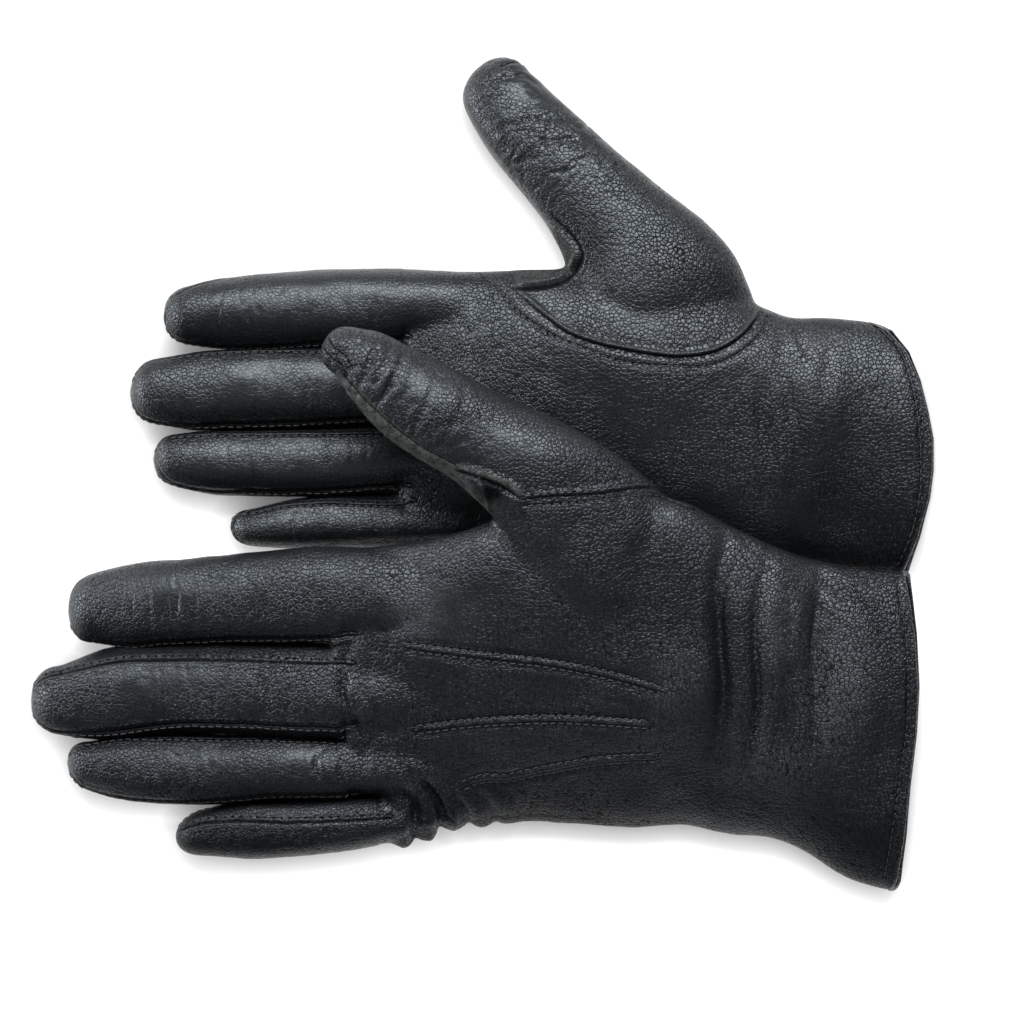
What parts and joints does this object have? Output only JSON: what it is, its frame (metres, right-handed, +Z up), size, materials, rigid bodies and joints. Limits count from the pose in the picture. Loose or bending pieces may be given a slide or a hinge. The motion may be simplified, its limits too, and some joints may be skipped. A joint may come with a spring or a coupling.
{
  "type": "pair of leather dress gloves",
  "caption": "Pair of lined leather dress gloves laid together, one palm up and one palm down across its edge; fingers flex and thumbs swing.",
  "frame": {"origin": "on the table under the middle of the pair's box", "axes": "+X runs from fingertips to cuffs, +Y to the thumb side, +Z up from the table"},
  "size_m": [0.2596, 0.2397, 0.0516],
  "materials": {
    "back_leather": "semi-gloss black pebble-grained glove leather",
    "palm_leather": "semi-gloss black pebble-grained glove leather",
    "thumb_leather": "semi-gloss black pebble-grained glove leather",
    "fourchette_leather": "satin black glove leather",
    "quirk_leather": "satin black glove leather",
    "hem_leather": "satin black turned leather edge",
    "point_leather": "satin black pinched leather ridge",
    "lining_knit": "matt dark red knit"
  },
  "bodies": {
    "right_hand": {"right_back_panel": "back_leather", "right_palm_panel": "palm_leather", "right_hand_lining": "lining_knit", "right_cuff_hem": "hem_leather", "right_thumb_base": "thumb_leather", "right_thumb_quirk": "quirk_leather", "right_point_1": "point_leather", "right_point_2": "point_leather", "right_point_3": "point_leather"},
    "right_index": {"right_index_back": "back_leather", "right_index_palm": "palm_leather", "right_index_fourchette_little_side": "fourchette_leather", "right_index_lining": "lining_knit"},
    "right_middle": {"right_middle_back": "back_leather", "right_middle_palm": "palm_leather", "right_middle_fourchette_thumb_side": "fourchette_leather", "right_middle_fourchette_little_side": "fourchette_leather", "right_middle_lining": "lining_knit"},
    "right_ring": {"right_ring_back": "back_leather", "right_ring_palm": "palm_leather", "right_ring_fourchette_thumb_side": "fourchette_leather", "right_ring_fourchette_little_side": "fourchette_leather", "right_ring_lining": "lining_knit"},
    "right_little": {"right_little_back": "back_leather", "right_little_palm": "palm_leather", "right_little_fourchette_thumb_side": "fourchette_leather", "right_little_lining": "lining_knit"},
    "right_thumb": {"right_thumb_sheath": "thumb_leather", "right_thumb_lining": "lining_knit"},
    "left_hand": {"left_back_panel": "back_leather", "left_palm_panel": "palm_leather", "left_hand_lining": "lining_knit", "left_cuff_hem": "hem_leather", "left_thumb_base": "thumb_leather", "left_thumb_quirk": "quirk_leather", "left_point_1": "point_leather", "left_point_2": "point_leather", "left_point_3": "point_leather"},
    "left_index": {"left_index_back": "back_leather", "left_index_palm": "palm_leather", "left_index_fourchette_little_side": "fourchette_leather", "left_index_lining": "lining_knit"},
    "left_middle": {"left_middle_back": "back_leather", "left_middle_palm": "palm_leather", "left_middle_fourchette_thumb_side": "fourchette_leather", "left_middle_fourchette_little_side": "fourchette_leather", "left_middle_lining": "lining_knit"},
    "left_ring": {"left_ring_back": "back_leather", "left_ring_palm": "palm_leather", "left_ring_fourchette_thumb_side": "fourchette_leather", "left_ring_fourchette_little_side": "fourchette_leather", "left_ring_lining": "lining_knit"},
    "left_little": {"left_little_back": "back_leather", "left_little_palm": "palm_leather", "left_little_fourchette_thumb_side": "fourchette_leather", "left_little_lining": "lining_knit"},
    "left_thumb": {"left_thumb_sheath": "thumb_leather", "left_thumb_lining": "lining_knit"}
  },
  "joints": [
    {"name": "left_glove_lift", "type": "slide", "parent": "right_hand", "child": "left_hand", "axis": [0, 0, 1], "range_m": [0, 0.15]},
    {"name": "right_index_flex", "type": "hinge", "parent": "right_hand", "child": "right_index", "pos_m": [-0.03, 0.04775, 0.0102], "axis": [0, 1, 0], "range_deg": [0, 30]},
    {"name": "right_middle_flex", "type": "hinge", "parent": "right_hand", "child": "right_middle", "pos_m": [-0.03, 0.0249, 0.0102], "axis": [0, 1, 0], "range_deg": [0, 30]},
    {"name": "right_ring_flex", "type": "hinge", "parent": "right_hand", "child": "right_ring", "pos_m": [-0.03, 0.0042, 0.01], "axis": [0, 1, 0], "range_deg": [0, 30]},
    {"name": "right_little_flex", "type": "hinge", "parent": "right_hand", "child": "right_little", "pos_m": [-0.03, -0.0125, 0.0094], "axis": [0, 1, 0], "range_deg": [0, 60]},
    {"name": "left_index_flex", "type": "hinge", "parent": "left_hand", "child": "left_index", "pos_m": [-0.046, -0.0339, 0.0243], "axis": [0, -1, 0], "range_deg": [0, 60]},
    {"name": "left_middle_flex", "type": "hinge", "parent": "left_hand", "child": "left_middle", "pos_m": [-0.046, -0.0615, 0.0192], "axis": [0, -1, 0], "range_deg": [0, 60]},
    {"name": "left_ring_flex", "type": "hinge", "parent": "left_hand", "child": "left_ring", "pos_m": [-0.046, -0.0839, 0.0149], "axis": [0, -1, 0], "range_deg": [0, 60]},
    {"name": "left_little_flex", "type": "hinge", "parent": "left_hand", "child": "left_little", "pos_m": [-0.046, -0.1007, 0.0118], "axis": [0, -1, 0], "range_deg": [0, 60]},
    {"name": "right_thumb_swing", "type": "hinge", "parent": "right_hand", "child": "right_thumb", "pos_m": [0.02747, 0.08447, 0.013], "axis": [0, 0, 1], "range_deg": [-12, 15]},
    {"name": "left_thumb_swing", "type": "hinge", "parent": "left_hand", "child": "left_thumb", "pos_m": [-0.00448, 0.0111, 0.0416], "axis": [0, 0, 1], "range_deg": [-12, 15]}
  ]
}
